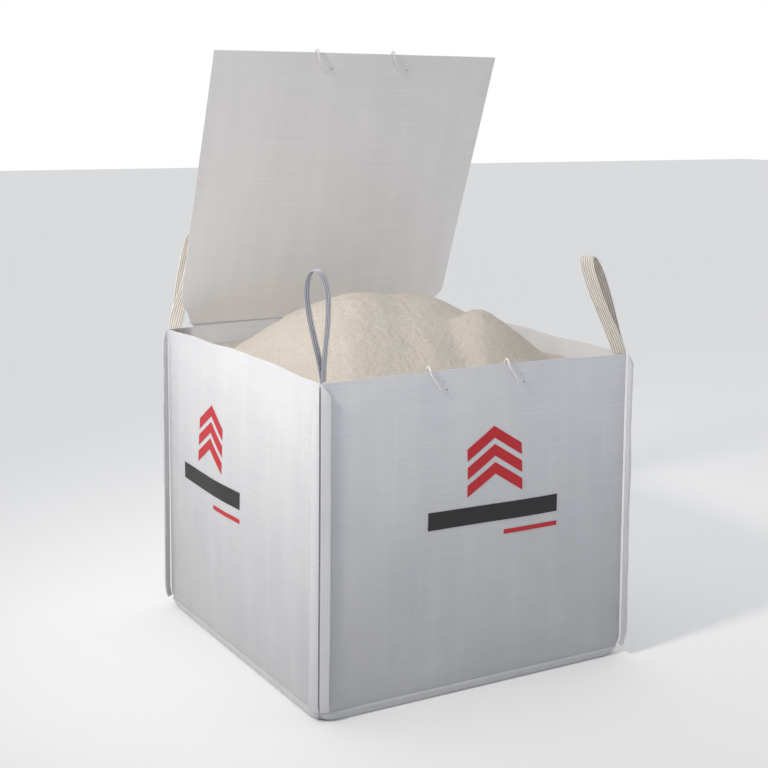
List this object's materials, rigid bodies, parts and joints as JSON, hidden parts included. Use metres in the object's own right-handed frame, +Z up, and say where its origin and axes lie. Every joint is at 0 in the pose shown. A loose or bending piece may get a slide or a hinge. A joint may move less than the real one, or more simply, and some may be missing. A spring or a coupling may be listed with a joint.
{
  "type": "bulk bag",
  "caption": "Open-topped square bulk bag of white woven fabric, filled with sand, with a hinged flap lid, webbing lift loops at the corners and tie cords.",
  "frame": {"origin": "centre of the underside of the base panel, on the floor", "axes": "+Z up; -Y is the front (the side opposite the lid's hinge), -X the left side, +X the right side"},
  "size_m": [0.9772, 1.1279, 1.6339],
  "materials": {
    "woven_fabric": "matte",
    "seam_strip": "matte",
    "striped_webbing": "matte",
    "tie_cord": "matte",
    "sand": "matte"
  },
  "bodies": {
    "root_bag": {"base_panel": "woven_fabric", "front_bottom_hem": "seam_strip", "front_left_flap_front": "seam_strip", "front_left_flap_left": "seam_strip", "front_left_tail_front": "striped_webbing", "front_left_tail_left": "striped_webbing", "front_panel": "woven_fabric", "front_right_flap_front": "seam_strip", "front_right_flap_right": "seam_strip", "front_right_tail_front": "striped_webbing", "front_right_tail_right": "striped_webbing", "front_tie_left": "tie_cord", "front_tie_right": "tie_cord", "left_bottom_hem": "seam_strip", "left_panel": "woven_fabric", "lid_seam_strip": "woven_fabric", "rear_bottom_hem": "seam_strip", "rear_left_flap_left": "seam_strip", "rear_left_flap_rear": "seam_strip", "rear_left_tail_left": "striped_webbing", "rear_left_tail_rear": "striped_webbing", "rear_panel": "woven_fabric", "rear_right_flap_rear": "seam_strip", "rear_right_flap_right": "seam_strip", "rear_right_tail_rear": "striped_webbing", "rear_right_tail_right": "striped_webbing", "right_bottom_hem": "seam_strip", "right_panel": "woven_fabric", "sand_fill": "sand"},
    "lid": {"lid_flap": "woven_fabric", "lid_tie_left": "tie_cord", "lid_tie_right": "tie_cord"},
    "front_left_lift_loop": {"front_left_loop": "striped_webbing"},
    "front_right_lift_loop": {"front_right_loop": "striped_webbing"},
    "rear_left_lift_loop": {"rear_left_loop": "striped_webbing"},
    "rear_right_lift_loop": {"rear_right_loop": "striped_webbing"}
  },
  "joints": [
    {"name": "lid_hinge", "type": "hinge", "parent": "root_bag", "child": "lid", "pos_m": [0, 0.4815, 0.8485], "axis": [1, 0, 0], "range_deg": [-4, 47]},
    {"name": "front_left_loop_bend", "type": "hinge", "parent": "root_bag", "child": "front_left_lift_loop", "pos_m": [-0.44409, -0.46709, 0.84], "axis": [-0.7071, -0.7071, 0], "range_deg": [-62, 62], "stiffness_Nm_per_rad": 0.4},
    {"name": "front_right_loop_bend", "type": "hinge", "parent": "root_bag", "child": "front_right_lift_loop", "pos_m": [0.44409, -0.46709, 0.84], "axis": [0.7071, -0.7071, 0], "range_deg": [-62, 62], "stiffness_Nm_per_rad": 0.4},
    {"name": "rear_left_loop_bend", "type": "hinge", "parent": "root_bag", "child": "rear_left_lift_loop", "pos_m": [-0.44409, 0.46709, 0.84], "axis": [-0.7071, 0.7071, 0], "range_deg": [-12, 30], "stiffness_Nm_per_rad": 0.4},
    {"name": "rear_right_loop_bend", "type": "hinge", "parent": "root_bag", "child": "rear_right_lift_loop", "pos_m": [0.44409, 0.46709, 0.84], "axis": [0.7071, 0.7071, 0], "range_deg": [-22, 15], "stiffness_Nm_per_rad": 0.4}
  ]
}
